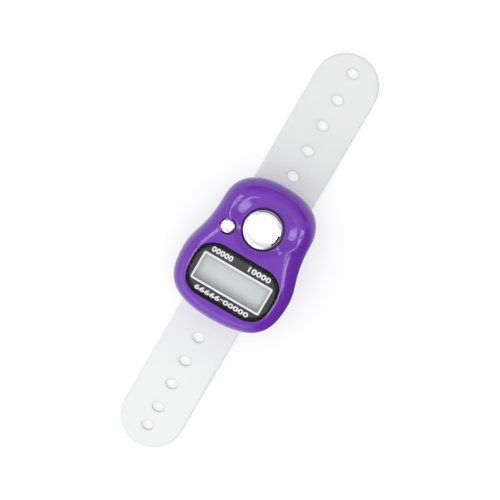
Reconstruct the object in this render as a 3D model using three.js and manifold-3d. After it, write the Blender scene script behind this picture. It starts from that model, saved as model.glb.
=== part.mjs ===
// Finger tally counter: a small electronic counter worn on a finger by a soft strap.
// Millimetres, +Z up. The counter lies on its strap loops, display end towards +Y,
// and the origin is on the table under the middle of the strap.
import * as THREE from 'three';
import { mergeVertices } from 'three/addons/utils/BufferGeometryUtils.js';
import Module from 'manifold-3d';

const wasm = await Module();
wasm.setup();

// Gaps that the moulded pieces keep to each other
const gap = 0.3;
const lensGap = 0.15;
const threadGap = 0.15;

// Case outline: a wide head round the display, a narrower tail round the count button
const caseLength = 36.6;
const headWidth = 29.1;
const tailWidth = 24.0;
const headLine = 6.2;
const tailLine = -9.0;
const caseOffset = -0.9;

// Case walls and roundings
const wall = 1.4;
const roof = 1.6;
const baseThickness = 1.2;
const headShoulder = 3.4;
const tailShoulder = 4.8;
const headShoulderLine = 2.0;
const tailShoulderLine = -7.0;
const cavityShoulder = 0.8;
const keel = 3.0;
const sideDrop = 0.25;
const endDrop = 0.5;
const seamHeight = 3.5;
const lipHeight = 1.0;
const lipThickness = 0.7;

// Strap and the two loops that hold it
const strapWidth = 16.0;
const strapThickness = 1.0;
const strapLength = 109.7;
const strapPlay = 0.35;
const rampLength = 9.0;
const holeWidth = 2.9;
const holeLength = 2.35;
const nearHole = 22.0;
const nearEndPitch = 7.3;
const nearEndMargin = 4.4;
const farHole = 24.1;
const farEndPitch = 5.3;
const farEndMargin = 5.29;
const curlDown = THREE.MathUtils.degToRad(60);
const liftUp = THREE.MathUtils.degToRad(25);
const loopBar = 1.2;
const loopWidth = 2.6;
const loopPost = 1.8;
const loopLine = 10.0;

// Button cell and its contacts
const cellDiameter = 11.6;
const cellHeight = 3.1;
const cellCapDiameter = 9.2;
const cellCapRise = 0.4;
const cellRim = 0.2;
const sealWidth = 0.5;
const sealHeight = 0.45;
const cellLine = 6.6;
const contactRoom = 0.8;
const contactStrip = 0.2;
const contactWidth = 3.0;
const contactFoot = 1.7;
const wellWall = 0.8;
const wellHeight = 1.8;

// Circuit board and what is soldered to it
const boardThickness = 0.8;
const boardHeadLine = 0.2;
const boardTailLine = -10.4;
const chipDiameter = 5.2;
const chipHeight = 1.1;
const besideChip = 5.5;
const capacitorSize = [1.25, 2.0, 0.7];
const resistorSize = [0.8, 1.6, 0.45];

// Display cell
const lcdWidth = 19.8;
const lcdHeight = 9.4;
const glassThickness = 0.5;
const foilThickness = 0.2;
const foilMargin = 0.4;
const lcdClearance = 0.45;
const lcdLedge = 2.0;
const zebraWidth = 1.4;

// Lens and the ledge that it is taped to
const lensWidth = 22.8;
const lensHeight = 13.2;
const lensCorner = 5.7;
const lensLine = 7.1;
const lensThickness = 0.9;
const lensBevel = 0.25;
const lensSink = 0.45;
const tapeThickness = 0.1;
const ledgeThickness = 0.7;
const windowWidth = 18.7;
const windowHeight = 7.9;
const windowCorner = 1.0;
const windowRise = 0.3;

// Buttons
const countLine = -7.25;
const countHole = 10.2;
const countTop = 8.5;
const countProud = 0.35;
const dishLip = 0.1;
const headDishReach = 7.2;
const headDishDepth = 0.7;
const tailDishReach = 11.5;
const tailDishDepth = 1.1;
const dishTurn = 0.35;
const resetX = 7.6;
const resetLine = -3.95;
const resetHole = 4.0;
const resetTop = 3.0;
const resetProud = 0.1;
const buttonTravel = 0.6;
const flangeThickness = 0.6;
const countFlangeGrip = 0.5;
const resetFlangeGrip = 0.4;
const domeWall = 0.4;
const countPill = 1.4;
const resetPill = 0.7;
const pillThickness = 0.3;
const pillClear = 0.05;

// Screws
const caseScrewRadius = 0.7;
const caseScrewLength = 5.5;
const caseHeadRadius = 1.3;
const caseHeadHeight = 0.9;
const counterbore = 1.4;
const boardScrewRadius = 0.5;
const boardScrewLength = 2.6;
const boardHeadRadius = 1.0;
const boardHeadHeight = 0.55;
const bossWall = 0.8;
const crossDepth = 0.35;
const crossWidth = 0.3;
const headScrewLine = 14.2;
const tailScrewLine = -13.6;
const headScrewInset = 4.5;
const tailScrewInset = 3.65;
const boardScrewInset = 3.75;

// Heights, stacked from the table up
const halfLength = caseLength / 2;
const headHalf = headWidth / 2;
const tailHalf = tailWidth / 2;
const strapRise = loopBar + strapPlay;
const baseZ = strapRise + strapThickness + strapPlay;
const floorZ = baseZ + baseThickness;
const seamZ = baseZ + seamHeight;
const cellZ = floorZ + gap;
const cellTopZ = cellZ + cellHeight;
const sealZ = cellTopZ - cellCapRise - gap;
const boardZ = cellTopZ + contactRoom;
const boardTopZ = boardZ + boardThickness;
const reflectorZ = boardTopZ + lcdClearance;
const rearGlassZ = reflectorZ + foilThickness;
const frontGlassZ = rearGlassZ + glassThickness;
const polariserZ = frontGlassZ + glassThickness;
const ledgeZ = polariserZ + foilThickness + gap;
const seatZ = ledgeZ + ledgeThickness;
const lensZ = seatZ + tapeThickness;
const lensTopZ = lensZ + lensThickness;
const crownZ = lensTopZ + lensSink;
const ceilingZ = crownZ - roof;
const flangeTopZ = ceilingZ - gap;
const flangeZ = flangeTopZ - flangeThickness;
const screwSeatZ = baseZ + counterbore;
const lcdLine = lensLine + windowRise;
const caseThread = caseScrewRadius + threadGap;
const boardThread = boardScrewRadius + threadGap;
const caseBoss = caseThread + bossWall;
const boardBoss = boardThread + bossWall;
const dishInner = countHole / 2 + dishLip;
const countRadius = countHole / 2 - gap;
const resetRadius = resetHole / 2 - gap;
const countFlange = countHole / 2 + countFlangeGrip;
const resetFlange = resetHole / 2 + resetFlangeGrip;

// Fineness: points round the case, steps round a boss, a small hole and a well or cap, parts
// of a drawn curve, and the angles at which a rounding is cut, more on surfaces that show
const around = 60;
const bossSteps = 16;
const holeSteps = 12;
const roundSteps = 36;
const curveSegments = 8;
const fineTurns = [0, 18, 36, 54, 72, 90];
const coarseTurns = [0, 45, 90];

// Materials
function finish(color, roughness, metalness = 0) {
  return new THREE.MeshStandardMaterial({ color, roughness, metalness });
}
const purple = finish(0x6a38b0, 0.2);
const clear = finish(0x24262a, 0.08);
const glass = finish(0xb9c6c1, 0.1);
const foil = finish(0xa9b1ac, 0.35);
const rubber = finish(0xd9d6cf, 0.7);
const carbon = finish(0x202020, 0.8);
const chrome = finish(0xe2e2e4, 0.08, 1);
const steel = finish(0xb8babd, 0.3, 1);
const laminate = finish(0x2f6b3c, 0.5);
const resin = finish(0x101010, 0.35);
const milky = finish(0xe6e8e6, 0.45);
const nylon = finish(0x4a7fb0, 0.5);
const tapeFinish = finish(0xf0efe8, 0.7);

// A closed three.js geometry as a solid that can be cut and joined
function solid(geometry) {
  const bare = geometry.clone();
  bare.deleteAttribute('normal');
  bare.deleteAttribute('uv');
  const merged = mergeVertices(bare, 1e-4);
  const mesh = new wasm.Mesh({
    numProp: 3,
    vertProperties: new Float32Array(merged.attributes.position.array),
    triVerts: new Uint32Array(merged.index.array),
  });
  mesh.merge();
  return new wasm.Manifold(mesh);
}

function geometryOf(body) {
  const mesh = body.getMesh();
  const geometry = new THREE.BufferGeometry();
  geometry.setAttribute('position', new THREE.BufferAttribute(mesh.vertProperties, 3));
  geometry.setIndex(new THREE.BufferAttribute(mesh.triVerts, 1));
  geometry.computeVertexNormals();
  return geometry;
}

function join(...bodies) {
  return bodies.reduce((whole, next) => whole.add(next));
}

function cut(body, ...cutters) {
  return cutters.reduce((rest, cutter) => rest.subtract(cutter), body);
}

// A flat outline drawn up from one height to another
function plate(shape, lowZ, highZ) {
  const options = { depth: highZ - lowZ, bevelEnabled: false, curveSegments };
  return solid(new THREE.ExtrudeGeometry(shape, options).translate(0, 0, lowZ));
}

// A profile of [radius, height] pairs turned about an upright axis at x, y
function turned(profile, x = 0, y = 0, steps = roundSteps) {
  const points = profile.map(([r, z]) => new THREE.Vector2(r, z));
  const geometry = new THREE.LatheGeometry(points, steps);
  return solid(geometry.rotateX(Math.PI / 2).translate(x, y, 0));
}

function rod(radius, lowZ, highZ, x, y, steps = bossSteps) {
  return turned([[0, lowZ], [radius, lowZ], [radius, highZ], [0, highZ]], x, y, steps);
}

// The same rod at each of a list of places
function rods(places, radius, lowZ, highZ, steps = bossSteps) {
  return places.map(([x, y]) => rod(radius, lowZ, highZ, x, y, steps));
}

function block(lowX, highX, lowY, highY, lowZ, highZ) {
  const geometry = new THREE.BoxGeometry(highX - lowX, highY - lowY, highZ - lowZ);
  return solid(geometry.translate((lowX + highX) / 2, (lowY + highY) / 2, (lowZ + highZ) / 2));
}

// A side view in Y and Z drawn out along X
function drawnAlongX(points, lowX, highX) {
  const shape = new THREE.Shape(points.map(([y, z]) => new THREE.Vector2(y, z)));
  const geometry = new THREE.ExtrudeGeometry(shape, { depth: highX - lowX, bevelEnabled: false });
  geometry.rotateY(Math.PI / 2).rotateX(Math.PI / 2);
  return solid(geometry.translate(lowX, 0, 0));
}

function roundedRectangle(width, height, corner, centreY) {
  const w = width / 2;
  const h = height / 2;
  const c = Math.min(corner, w, h);
  const shape = new THREE.Shape();
  shape.moveTo(-w + c, centreY - h);
  shape.lineTo(w - c, centreY - h);
  shape.absarc(w - c, centreY - h + c, c, -Math.PI / 2, 0);
  shape.lineTo(w, centreY + h - c);
  shape.absarc(w - c, centreY + h - c, c, 0, Math.PI / 2);
  shape.lineTo(-w + c, centreY + h);
  shape.absarc(-w + c, centreY + h - c, c, Math.PI / 2, Math.PI);
  shape.lineTo(-w, centreY - h + c);
  shape.absarc(-w + c, centreY - h + c, c, Math.PI, Math.PI * 1.5);
  return shape;
}

// Case outline: three smooth curves down the right side, mirrored on the left.
// Each number is how far a curve's handle reaches, as a share of the span that it rounds.
function caseOutline() {
  const topReach = 0.85 * headHalf;
  const headUp = 0.6 * (halfLength - headLine);
  const headDown = 0.335 * (headLine - tailLine);
  const tailUp = 0.57 * (headLine - tailLine);
  const tailDown = 0.65 * (halfLength + tailLine);
  const bottomReach = 0.65 * tailHalf;
  const path = new THREE.Path();
  path.moveTo(0, -halfLength);
  path.bezierCurveTo(bottomReach, -halfLength, tailHalf, tailLine - tailDown, tailHalf, tailLine);
  path.bezierCurveTo(tailHalf, tailLine + tailUp, headHalf, headLine - headDown, headHalf, headLine);
  path.bezierCurveTo(headHalf, headLine + headUp, topReach, halfLength, 0, halfLength);
  path.bezierCurveTo(-topReach, halfLength, -headHalf, headLine + headUp, -headHalf, headLine);
  path.bezierCurveTo(-headHalf, headLine - headDown, -tailHalf, tailLine + tailUp, -tailHalf, tailLine);
  path.bezierCurveTo(-tailHalf, tailLine - tailDown, -bottomReach, -halfLength, 0, -halfLength);
  const points = path.getSpacedPoints(around).slice(0, around);
  return points.map((point, i) => {
    const before = points[(i + around - 1) % around];
    const after = points[(i + 1) % around];
    const along = after.clone().sub(before).normalize();
    return { point, inward: new THREE.Vector2(-along.y, along.x) };
  });
}
const outline = caseOutline();

function insetPoints(inset) {
  return outline.map(({ point, inward }) => point.clone().addScaledVector(inward, inset));
}

function insetShape(inset) {
  return new THREE.Shape(insetPoints(inset));
}

// Half the width of the outline at a line across the case
function halfWidthAt(y) {
  const right = insetPoints(0).filter((point) => point.x > 0).sort((a, b) => a.y - b.y);
  const i = right.findIndex((point) => point.y > y);
  const [low, high] = [right[i - 1], right[i]];
  return THREE.MathUtils.lerp(low.x, high.x, (y - low.y) / (high.y - low.y));
}

// How far the top's rounded shoulder reaches in at a line across the case
function shoulderAt(y) {
  const share = THREE.MathUtils.smoothstep(y, tailShoulderLine, headShoulderLine);
  return THREE.MathUtils.lerp(tailShoulder, headShoulder, share);
}

// How far a place is from the middle of the count button, and the dish's reach and depth on
// that side: small and shallow towards the head, wide and deeper towards the tail
function dishAt(x, y) {
  const far = Math.hypot(x, y - countLine);
  const share = THREE.MathUtils.smoothstep((countLine - y) / far, -dishTurn, dishTurn);
  return {
    far,
    reach: THREE.MathUtils.lerp(headDishReach, tailDishReach, share),
    depth: THREE.MathUtils.lerp(headDishDepth, tailDishDepth, share),
  };
}

// Height of the case's gently crowned top, with the dish let down into it on a cosine wave
function crownAt(x, y) {
  const { far, reach, depth } = dishAt(x, y);
  const share = THREE.MathUtils.clamp((far - dishInner) / (reach - dishInner), 0, 1);
  const dip = depth * (1 + Math.cos(Math.PI * share)) / 2;
  return crownZ - sideDrop * (x / headHalf) ** 2 - endDrop * (y / halfLength) ** 2 - dip;
}

// The mean place of a ring, at the height of its highest point
function middleOf(ring) {
  const [x, y] = [0, 1].map((axis) => ring.reduce((sum, point) => sum + point[axis], 0) / ring.length);
  return [x, y, Math.max(...ring.map((point) => point[2]))];
}

// A closed body through rings of equal count, each ring a list of [x, y, z]
function ringed(rings) {
  const count = rings[0].length;
  const positions = rings.flat(2);
  const faces = [];
  const last = (rings.length - 1) * count;
  for (let ring = 0; ring < rings.length - 1; ring += 1) {
    for (let i = 0; i < count; i += 1) {
      const a = ring * count + i;
      const b = ring * count + ((i + 1) % count);
      faces.push(a, b, b + count, a, b + count, a + count);
    }
  }
  const low = positions.length / 3;
  const high = low + 1;
  positions.push(...middleOf(rings[0]), ...middleOf(rings[rings.length - 1]));
  for (let i = 0; i < count; i += 1) {
    const next = (i + 1) % count;
    faces.push(low, next, i, high, last + i, last + next);
  }
  const geometry = new THREE.BufferGeometry();
  geometry.setAttribute('position', new THREE.Float32BufferAttribute(positions, 3));
  geometry.setIndex(faces);
  return solid(geometry);
}

// How far a wall has leaned in at a height, on a rounding that reaches `reach` inwards
function leanAt(z, fromZ, toZ, reach) {
  const rise = Math.min(1, Math.abs(z - fromZ) / Math.abs(toZ - fromZ));
  return reach * (1 - Math.sqrt(1 - rise * rise));
}

// Rings over the top from the shoulder's inner loop to the dish, and on down to the hole in it
function ringsOverTop(inner) {
  const lines = inner.map(({ x, y }) => {
    const { far, reach } = dishAt(x, y);
    const edge = Math.min(reach, THREE.MathUtils.lerp(dishInner, far, 0.9));
    const outward = [2 / 3, 1 / 3, 0].map((share) => THREE.MathUtils.lerp(edge, far, share));
    const inward = [2 / 3, 1 / 3].map((share) => THREE.MathUtils.lerp(dishInner, edge, share));
    return [...outward, ...inward, dishInner - 2 * dishLip].map((radius) => {
      const place = [x * radius / far, countLine + (y - countLine) * radius / far];
      return [...place, crownAt(...place)];
    });
  });
  return lines[0].map((_, ring) => lines.map((line) => line[ring]));
}

// Rounded crown from the seam up: it starts in by `inset` and leans in by reachAt(y) more.
// Its top follows topHeight and may go on over further rings.
function crownBody(inset, reachAt, topHeight, turns, furtherRings) {
  const loops = turns.map(THREE.MathUtils.degToRad).map((turn) => outline.map(({ point, inward }) => {
    const lean = inset + reachAt(point.y) * (1 - Math.cos(turn));
    const { x, y } = point.clone().addScaledVector(inward, lean);
    return { x, y, z: seamZ + (topHeight(x, y) - seamZ) * Math.sin(turn) };
  }));
  const rings = loops.map((loop) => loop.map(({ x, y, z }) => [x, y, z]));
  return ringed([...rings, ...furtherRings(loops[loops.length - 1])]);
}

function flatCrown(inset, reachAt, topZ) {
  return crownBody(inset, reachAt, () => topZ, coarseTurns, () => []);
}

// A left and a right place on a line across the case, both set in from the outline
function screwPair(y, inset) {
  const x = halfWidthAt(y) - inset;
  return [[-x, y], [x, y]];
}

const caseScrewPlaces = [
  ...screwPair(headScrewLine, headScrewInset),
  ...screwPair(tailScrewLine, tailScrewInset),
];

const boardScrewPlaces = [
  ...screwPair(boardHeadLine, boardScrewInset),
  ...screwPair(boardTailLine, boardScrewInset),
];

// Top shell: crowned cover with the lens recess, the two button holes and the screw bosses
function topShell() {
  const outer = crownBody(0, shoulderAt, crownAt, fineTurns, ringsOverTop);
  const inner = flatCrown(wall, () => cavityShoulder, ceilingZ);
  const skirt = plate(insetShape(wall), seamZ - 1, seamZ);
  const rootZ = ceilingZ + roof / 4;
  const bosses = [
    ...rods(caseScrewPlaces, caseBoss, seamZ, rootZ),
    ...rods(boardScrewPlaces, boardBoss, boardTopZ, rootZ),
  ];
  const ledge = plate(roundedRectangle(lensWidth, lensHeight, lensCorner, lensLine), ledgeZ, rootZ);
  const underTop = flatCrown(wall / 2, (y) => shoulderAt(y) / 2, ceilingZ + roof / 3);
  const trimmed = join(...bosses, ledge).intersect(underTop);
  const body = join(cut(outer, join(inner, skirt)), trimmed);
  const recess = roundedRectangle(
    lensWidth + 2 * lensGap, lensHeight + 2 * lensGap, lensCorner + lensGap, lensLine,
  );
  return cut(
    body,
    plate(recess, seatZ, crownZ + 1),
    plate(roundedRectangle(windowWidth, windowHeight, windowCorner, lcdLine), ledgeZ - 1, seatZ + 1),
    rod(countHole / 2, ceilingZ - 1, crownZ + 1, 0, countLine, roundSteps),
    rod(resetHole / 2, ceilingZ - 1, crownZ + 1, resetX, resetLine, roundSteps * 2 / 3),
    ...rods(caseScrewPlaces, caseThread, seamZ - 1, screwSeatZ + caseScrewLength + gap, holeSteps),
    ...rods(boardScrewPlaces, boardThread, boardTopZ - 1, boardZ + boardScrewLength + gap, holeSteps),
  );
}

// Rounded keel of the bottom case from its flat base up to the seam
function keelBody(inset, lowZ, turns) {
  return ringed([...turns].reverse().map(THREE.MathUtils.degToRad).map((turn) => {
    const lean = inset + keel * (1 - Math.cos(turn));
    const z = seamZ - (seamZ - lowZ) * Math.sin(turn);
    return insetPoints(lean).map(({ x, y }) => [x, y, z]);
  }));
}

// One loop for the strap: a bar between two posts, moulded under the base
function strapLoop(y) {
  const inside = strapWidth / 2 + strapPlay;
  const outside = inside + loopPost;
  const low = y - loopWidth / 2;
  const high = y + loopWidth / 2;
  const bar = block(-outside, outside, low, high, 0, loopBar);
  const posts = [-1, 1].map((side) => {
    const edges = [side * inside, side * outside].sort((a, b) => a - b);
    return block(edges[0], edges[1], low, high, 0, baseZ + baseThickness / 2);
  });
  return join(bar, ...posts);
}

// Bottom case: shallow tray with a lip, a well for the cell, screw sleeves and the loops
function bottomCase() {
  const tray = cut(keelBody(0, baseZ, fineTurns), keelBody(wall, floorZ, coarseTurns));
  const lipInside = wall + gap + lipThickness;
  const lip = cut(
    join(
      plate(insetShape(wall / 2), seamZ - lipHeight, seamZ - gap),
      plate(insetShape(wall + gap), seamZ - lipHeight, seamZ + lipHeight),
    ),
    plate(insetShape(lipInside), seamZ - 2 * lipHeight, seamZ + 2 * lipHeight),
    ...rods(caseScrewPlaces, caseBoss + gap, seamZ, seamZ + 2 * lipHeight),
  );
  const sleeves = join(...rods(caseScrewPlaces, caseBoss, baseZ + baseThickness / 2, seamZ));
  const trimmedSleeves = sleeves.intersect(keelBody(wall / 4, baseZ, coarseTurns));
  const wellRadius = cellDiameter / 2 + gap;
  const well = cut(
    rod(wellRadius + wellWall, floorZ - baseThickness / 2, floorZ + wellHeight, 0, cellLine, roundSteps),
    rod(wellRadius, floorZ - baseThickness, floorZ + 2 * wellHeight, 0, cellLine, roundSteps),
    block(-contactWidth, contactWidth, cellLine, halfLength, floorZ, seamZ + 1),
  );
  const loops = [-loopLine, loopLine].map(strapLoop);
  return cut(
    join(tray, lip, trimmedSleeves, well, ...loops),
    ...rods(caseScrewPlaces, caseThread, baseZ - 1, seamZ + 1, holeSteps),
    ...rods(caseScrewPlaces, caseHeadRadius + threadGap, baseZ - 1, screwSeatZ),
  );
}

// Lens: clear plate with its top edge bevelled
function displayLens() {
  const shape = roundedRectangle(
    lensWidth - 2 * lensBevel, lensHeight - 2 * lensBevel, lensCorner - lensBevel, lensLine,
  );
  const geometry = new THREE.ExtrudeGeometry(shape, {
    depth: lensThickness - lensBevel,
    bevelThickness: lensBevel,
    bevelSize: lensBevel,
    bevelSegments: 1,
    curveSegments: 8,
  });
  const below = plate(roundedRectangle(lensWidth, lensHeight, lensCorner, lensLine), lensZ, crownZ + 1);
  return solid(geometry.translate(0, 0, lensZ)).intersect(below);
}

function lensTape() {
  const outside = roundedRectangle(lensWidth - 2 * gap, lensHeight - 2 * gap, lensCorner - gap, lensLine);
  const inside = roundedRectangle(windowWidth + 2 * gap, windowHeight + 2 * gap, windowCorner, lcdLine);
  return cut(plate(outside, seatZ, lensZ), plate(inside, seatZ - 1, lensZ + 1));
}

function lcdPlate(width, lowEdge, highEdge, lowZ, thickness) {
  return block(-width / 2, width / 2, lowEdge, highEdge, lowZ, lowZ + thickness);
}

const lcdLow = lcdLine - lcdHeight / 2;
const lcdHigh = lcdLine + lcdHeight / 2;
const rearLow = lcdLow + lcdLedge;

function frontPolariser() {
  const width = lcdWidth - 2 * foilMargin;
  return lcdPlate(width, lcdLow + foilMargin, lcdHigh - foilMargin, polariserZ, foilThickness);
}

function reflector() {
  const width = lcdWidth - 2 * foilMargin;
  return lcdPlate(width, rearLow + foilMargin, lcdHigh - foilMargin, reflectorZ, foilThickness);
}

function zebraStrip() {
  const low = lcdLow + (lcdLedge - zebraWidth) / 2;
  return lcdPlate(lcdWidth - 2 * foilMargin, low, low + zebraWidth, boardTopZ, frontGlassZ - boardTopZ);
}

// Circuit board: follows the case inside its lip, cleared round every boss
function circuitBoard() {
  const inset = wall + leanAt(boardTopZ, seamZ, ceilingZ, cavityShoulder) + gap;
  return cut(
    plate(insetShape(inset), boardZ, boardTopZ),
    ...rods(caseScrewPlaces, caseBoss + gap, boardZ - 1, boardTopZ + 1),
    ...rods(boardScrewPlaces, boardThread, boardZ - 1, boardTopZ + 1, holeSteps),
  );
}

// Drop of resin over the bonded chip, under the board
function chipResin() {
  const r = chipDiameter / 2;
  return turned([
    [0, boardZ - chipHeight],
    [r * 0.45, boardZ - chipHeight * 0.93],
    [r * 0.8, boardZ - chipHeight * 0.6],
    [r, boardZ],
    [0, boardZ],
  ], 0, countLine, holeSteps * 2);
}

// A plain soldered part under the board, beside the chip
function smallChip(x, width, length, height) {
  const low = countLine - length / 2;
  return block(x - width / 2, x + width / 2, low, low + length, boardZ - height, boardZ);
}

// Button cap: a plated cap with a rounded rim, over a flange that keeps it in the shell
function buttonCap(x, y, radius, topDiameter, flange, topZ, steps) {
  const bevel = radius - topDiameter / 2;
  const rim = topZ - bevel * 0.8;
  return turned([
    [0, flangeZ],
    [flange, flangeZ],
    [flange, flangeTopZ],
    [radius, flangeTopZ],
    [radius, rim - bevel],
    [radius - bevel * 0.12, rim - bevel * 0.45],
    [radius - bevel * 0.45, rim],
    [topDiameter / 2, topZ - bevel * 0.4],
    [topDiameter / 3, topZ - bevel * 0.12],
    [0, topZ],
  ], x, y, steps);
}

const pillZ = boardTopZ + buttonTravel + pillClear;

// Rubber dome: a skirt on the board, a thin cone and a solid crown under the button
function rubberDome(x, y, radius) {
  const pillTop = pillZ + pillThickness;
  const crown = radius * 0.55;
  return turned([
    [0, pillTop],
    [crown - domeWall / 2, pillTop],
    [radius - 2 * domeWall, boardTopZ],
    [radius, boardTopZ],
    [radius, boardTopZ + domeWall],
    [radius - domeWall / 2, boardTopZ + domeWall],
    [crown, flangeZ - domeWall],
    [crown, flangeZ],
    [0, flangeZ],
  ], x, y, holeSteps * 2);
}

// Button cell: a can that is the positive pole, a nylon seal and the negative cap
function cellCan() {
  const r = cellDiameter / 2;
  const shoulderZ = cellTopZ - cellCapRise;
  return turned([
    [0, cellZ], [r, cellZ], [r, shoulderZ], [r - cellRim, shoulderZ + cellRim / 2],
    [cellCapDiameter / 2 + sealWidth, shoulderZ + cellRim / 2],
    [cellCapDiameter / 2 + sealWidth, sealZ], [0, sealZ],
  ], 0, cellLine);
}

function cellSeal() {
  const inside = cellCapDiameter / 2;
  const high = sealZ + sealHeight;
  return turned([
    [inside, sealZ], [inside + sealWidth, sealZ], [inside + sealWidth, high], [inside, high], [inside, sealZ],
  ], 0, cellLine);
}

function cellCap() {
  const r = cellCapDiameter / 2;
  const bevel = cellRim / 2;
  return turned([
    [0, sealZ], [r, sealZ], [r, cellTopZ - bevel], [r - bevel, cellTopZ], [0, cellTopZ],
  ], 0, cellLine);
}

// Negative contact: a leaf soldered under the board that bears on the cell's cap
function negativeContact() {
  const near = cellLine - cellCapDiameter / 2 + contactFoot / 2;
  const mid = cellLine - contactWidth / 4;
  const far = cellLine + contactWidth / 2;
  const t = contactStrip;
  return drawnAlongX([
    [near, boardZ], [near, boardZ - t], [near + contactFoot, boardZ - t], [mid, cellTopZ],
    [far, cellTopZ], [far, cellTopZ + t], [mid + t / 2, cellTopZ + t], [near + contactFoot + t / 2, boardZ],
  ], -contactWidth / 2, contactWidth / 2);
}

// Positive contact: an angle soldered under the board that reaches down beside the can
function positiveContact() {
  const face = cellLine + cellDiameter / 2 + contactStrip / 2;
  const t = contactStrip;
  const low = cellZ + cellHeight * 0.3;
  return drawnAlongX([
    [face, low], [face + t, low], [face + t, boardZ - t], [face + contactFoot, boardZ - t],
    [face + contactFoot, boardZ], [face, boardZ],
  ], -contactWidth / 2, contactWidth / 2);
}

// Screw, head down: a cross recess in the head, a plain shank with a tapered tip
function screw(x, y, seat, radius, length, headRadius, headHeight) {
  const body = turned([
    [0, seat - headHeight],
    [headRadius * 0.8, seat - headHeight],
    [headRadius, seat - headHeight * 0.5],
    [headRadius, seat],
    [radius, seat],
    [radius, seat + length - radius],
    [0, seat + length],
  ], x, y, bossSteps);
  const arm = headRadius * 0.62;
  const low = seat - headHeight - 1;
  const high = seat - headHeight + crossDepth;
  const half = crossWidth / 2;
  return cut(
    body,
    block(x - arm, x + arm, y - half, y + half, low, high),
    block(x - half, x + half, y - arm, y + arm, low, high),
  );
}

// Height of the strap's underside: it lies on the table, and rises to pass over the loop bars
function strapHeight(y) {
  const flatEnd = loopLine + loopWidth / 2 + 0.5;
  const beyond = Math.abs(y - caseOffset) - flatEnd;
  const share = Math.min(1, Math.max(0, beyond / rampLength));
  return strapRise * 0.5 * (1 + Math.cos(Math.PI * share));
}

// Five holes down one side of the strap, as distances from its middle: the last one is set in
// from the strap's end, the one before it by its own pitch, and the rest are evenly spaced
function holeLines(first, endPitch, endMargin) {
  const last = strapLength / 2 - endMargin;
  const pitch = (last - endPitch - first) / 3;
  return [...[0, 1, 2, 3].map((i) => first + i * pitch), last];
}

// Where one side of the strap bends: half a pitch before its first hole, then between holes
function bendLines(holes) {
  return [holes[0] - (holes[1] - holes[0]) / 2, (holes[1] + holes[2]) / 2, (holes[3] + holes[4]) / 2];
}

const nearLines = holeLines(nearHole, nearEndPitch, nearEndMargin);
const nearHoles = nearLines.map((y) => -y);
const farHoles = holeLines(farHole, farEndPitch, farEndMargin);
const nearBends = bendLines(nearLines).map((y) => -y);
const farBends = bendLines(farHoles);

function strapPlan() {
  const half = strapWidth / 2;
  const straight = strapLength / 2 - half;
  const shape = new THREE.Shape();
  shape.moveTo(half, -straight);
  shape.lineTo(half, straight);
  shape.absarc(0, straight, half, 0, Math.PI);
  shape.lineTo(-half, -straight);
  shape.absarc(0, -straight, half, Math.PI, 2 * Math.PI);
  for (const y of [...nearHoles, ...farHoles]) {
    const hole = new THREE.Path();
    hole.absellipse(0, y, holeWidth / 2, holeLength / 2, 0, 2 * Math.PI, true);
    shape.holes.push(hole);
  }
  return shape;
}

// One length of the strap between two bends. Its ends are cut to a blunt edge at half
// thickness, so that the next length can swing down by curlDown and up by liftUp.
function strapPiece(low, high, lowIsBend, highIsBend) {
  const belowCut = (strapThickness / 2) * Math.tan(curlDown / 2);
  const aboveCut = (strapThickness / 2) * Math.tan(liftUp / 2);
  const edge = gap / 2;
  const steps = 10;
  const lowMid = strapHeight(low) + strapThickness / 2;
  const highMid = strapHeight(high) + strapThickness / 2;
  const lowBack = lowIsBend ? edge : 0;
  const highBack = highIsBend ? edge : 0;
  const bottomLow = low + lowBack + (lowIsBend ? belowCut : 0);
  const bottomHigh = high - highBack - (highIsBend ? belowCut : 0);
  const topLow = low + lowBack + (lowIsBend ? aboveCut : 0);
  const topHigh = high - highBack - (highIsBend ? aboveCut : 0);
  const bottom = [];
  const top = [];
  for (let i = 0; i <= steps; i += 1) {
    const underY = THREE.MathUtils.lerp(bottomLow, bottomHigh, i / steps);
    const overY = THREE.MathUtils.lerp(topHigh, topLow, i / steps);
    bottom.push([underY, strapHeight(underY)]);
    top.push([overY, strapHeight(overY) + strapThickness]);
  }
  const lowTip = lowIsBend ? [[low + lowBack, lowMid]] : [];
  const highTip = highIsBend ? [[high - highBack, highMid]] : [];
  const profile = [...bottom, ...highTip, ...top, ...lowTip];
  const half = strapWidth / 2 + 1;
  const tall = plate(strapPlan(), -1, strapRise + strapThickness + 1);
  return drawnAlongX(profile, -half, half).intersect(tall);
}

function strapPieces() {
  const end = strapLength / 2;
  const near = [...nearBends, -end];
  const far = [...farBends, end];
  const pieces = [['strap_middle', strapPiece(nearBends[0], farBends[0], true, true)]];
  for (let i = 0; i < 3; i += 1) {
    pieces.push([`strap_near_${i + 1}`, strapPiece(near[i + 1], near[i], i < 2, true)]);
    pieces.push([`strap_far_${i + 1}`, strapPiece(far[i], far[i + 1], true, i < 2)]);
  }
  return pieces;
}

const counter = new THREE.Group();
const caseGroup = new THREE.Group();
caseGroup.position.y = caseOffset;
counter.add(caseGroup);

function place(group, name, body, material) {
  const mesh = new THREE.Mesh(geometryOf(body), material);
  mesh.name = name;
  group.add(mesh);
}

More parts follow.
